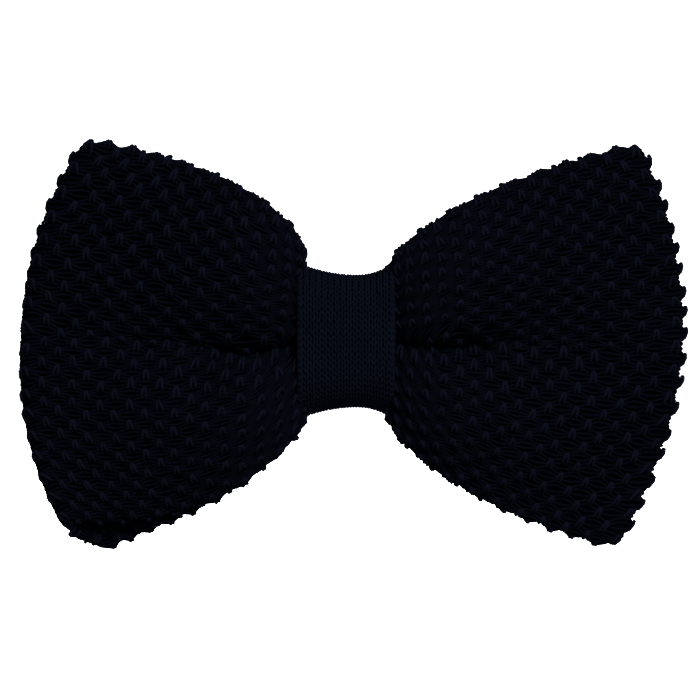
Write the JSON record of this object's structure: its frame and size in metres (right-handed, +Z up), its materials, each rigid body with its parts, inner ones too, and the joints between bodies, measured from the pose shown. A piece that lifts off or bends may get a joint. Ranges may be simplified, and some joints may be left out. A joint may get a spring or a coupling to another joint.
{
  "type": "knitted bow tie",
  "caption": "Pre-tied knitted bow tie: folded honeycomb-knit loops gathered under a fine jersey knot band, on a woven neckband with slider, hook and eye.",
  "frame": {"origin": "the middle of the knot band's flat back face, which rests on the collar", "axes": "+Y from the bow into the collar, so the bow faces -Y; +Z up as worn; +X to the right as seen from the front"},
  "size_m": [0.1192, 0.1323, 0.0736],
  "materials": {
    "knit": "matt honeycomb tuck-stitch knit in very dark navy",
    "jersey": "fine plain-knit jersey in very dark navy",
    "strap": "flat woven grosgrain strap in very dark navy",
    "thread": "dark navy sewing thread",
    "metal": "satin black lacquer on pressed steel"
  },
  "bodies": {
    "bow": {"loop_front_left": "knit", "loop_back_left": "knit", "loop_front_right": "knit", "loop_back_right": "knit", "bow_waist": "knit", "gather_thread": "thread", "knot_band": "jersey", "knot_seam_thread": "thread", "band_centre": "strap"},
    "left_inner": {"band_left_inner": "strap"},
    "left_outer": {"band_left_outer": "strap", "band_left_run": "strap"},
    "hook_end": {"band_left_fold": "strap", "band_left_return": "strap"},
    "hook": {"hook": "metal"},
    "slider": {"slider": "metal", "band_left_end": "strap", "bartack_left": "thread"},
    "right_inner": {"band_right_inner": "strap"},
    "right_outer": {"band_right_outer": "strap", "band_right_end": "strap", "bartack_right": "thread"},
    "eye": {"eye": "metal"}
  },
  "joints": [
    {"name": "left_front_bend", "type": "hinge", "parent": "bow", "child": "left_inner", "pos_m": [-0.03838, 0.00612, 0], "axis": [0, 0, 1], "range_deg": [0, 40]},
    {"name": "left_back_bend", "type": "hinge", "parent": "left_inner", "child": "left_outer", "pos_m": [-0.05643, 0.05571, 0], "axis": [0, 0, 1], "range_deg": [0, 50]},
    {"name": "right_front_bend", "type": "hinge", "parent": "bow", "child": "right_inner", "pos_m": [0.03838, 0.00612, 0], "axis": [0, 0, -1], "range_deg": [0, 40]},
    {"name": "right_back_bend", "type": "hinge", "parent": "right_inner", "child": "right_outer", "pos_m": [0.05643, 0.05571, 0], "axis": [0, 0, -1], "range_deg": [0, 50]},
    {"name": "hook_slide", "type": "slide", "parent": "left_outer", "child": "hook_end", "axis": [-0.7431, -0.6691, 0], "range_m": [0, 0.01], "deforming": ["band_left_run"]},
    {"name": "slider_slide", "type": "slide", "parent": "hook_end", "child": "slider", "axis": [-0.7431, -0.6691, 0], "range_m": [0, 0.01], "deforming": ["band_left_return"]},
    {"name": "hook_swivel", "type": "hinge", "parent": "hook_end", "child": "hook", "pos_m": [-0.01186, 0.10306, 0], "axis": [0, 0, 1], "range_deg": [-20, 40]},
    {"name": "eye_swivel", "type": "hinge", "parent": "right_outer", "child": "eye", "pos_m": [0.0106, 0.1042, 0], "axis": [0, 0, -1], "range_deg": [-20, 40]}
  ],
  "couplings": [
    {"joint": "slider_slide", "follows": "hook_slide", "ratio": 1}
  ]
}
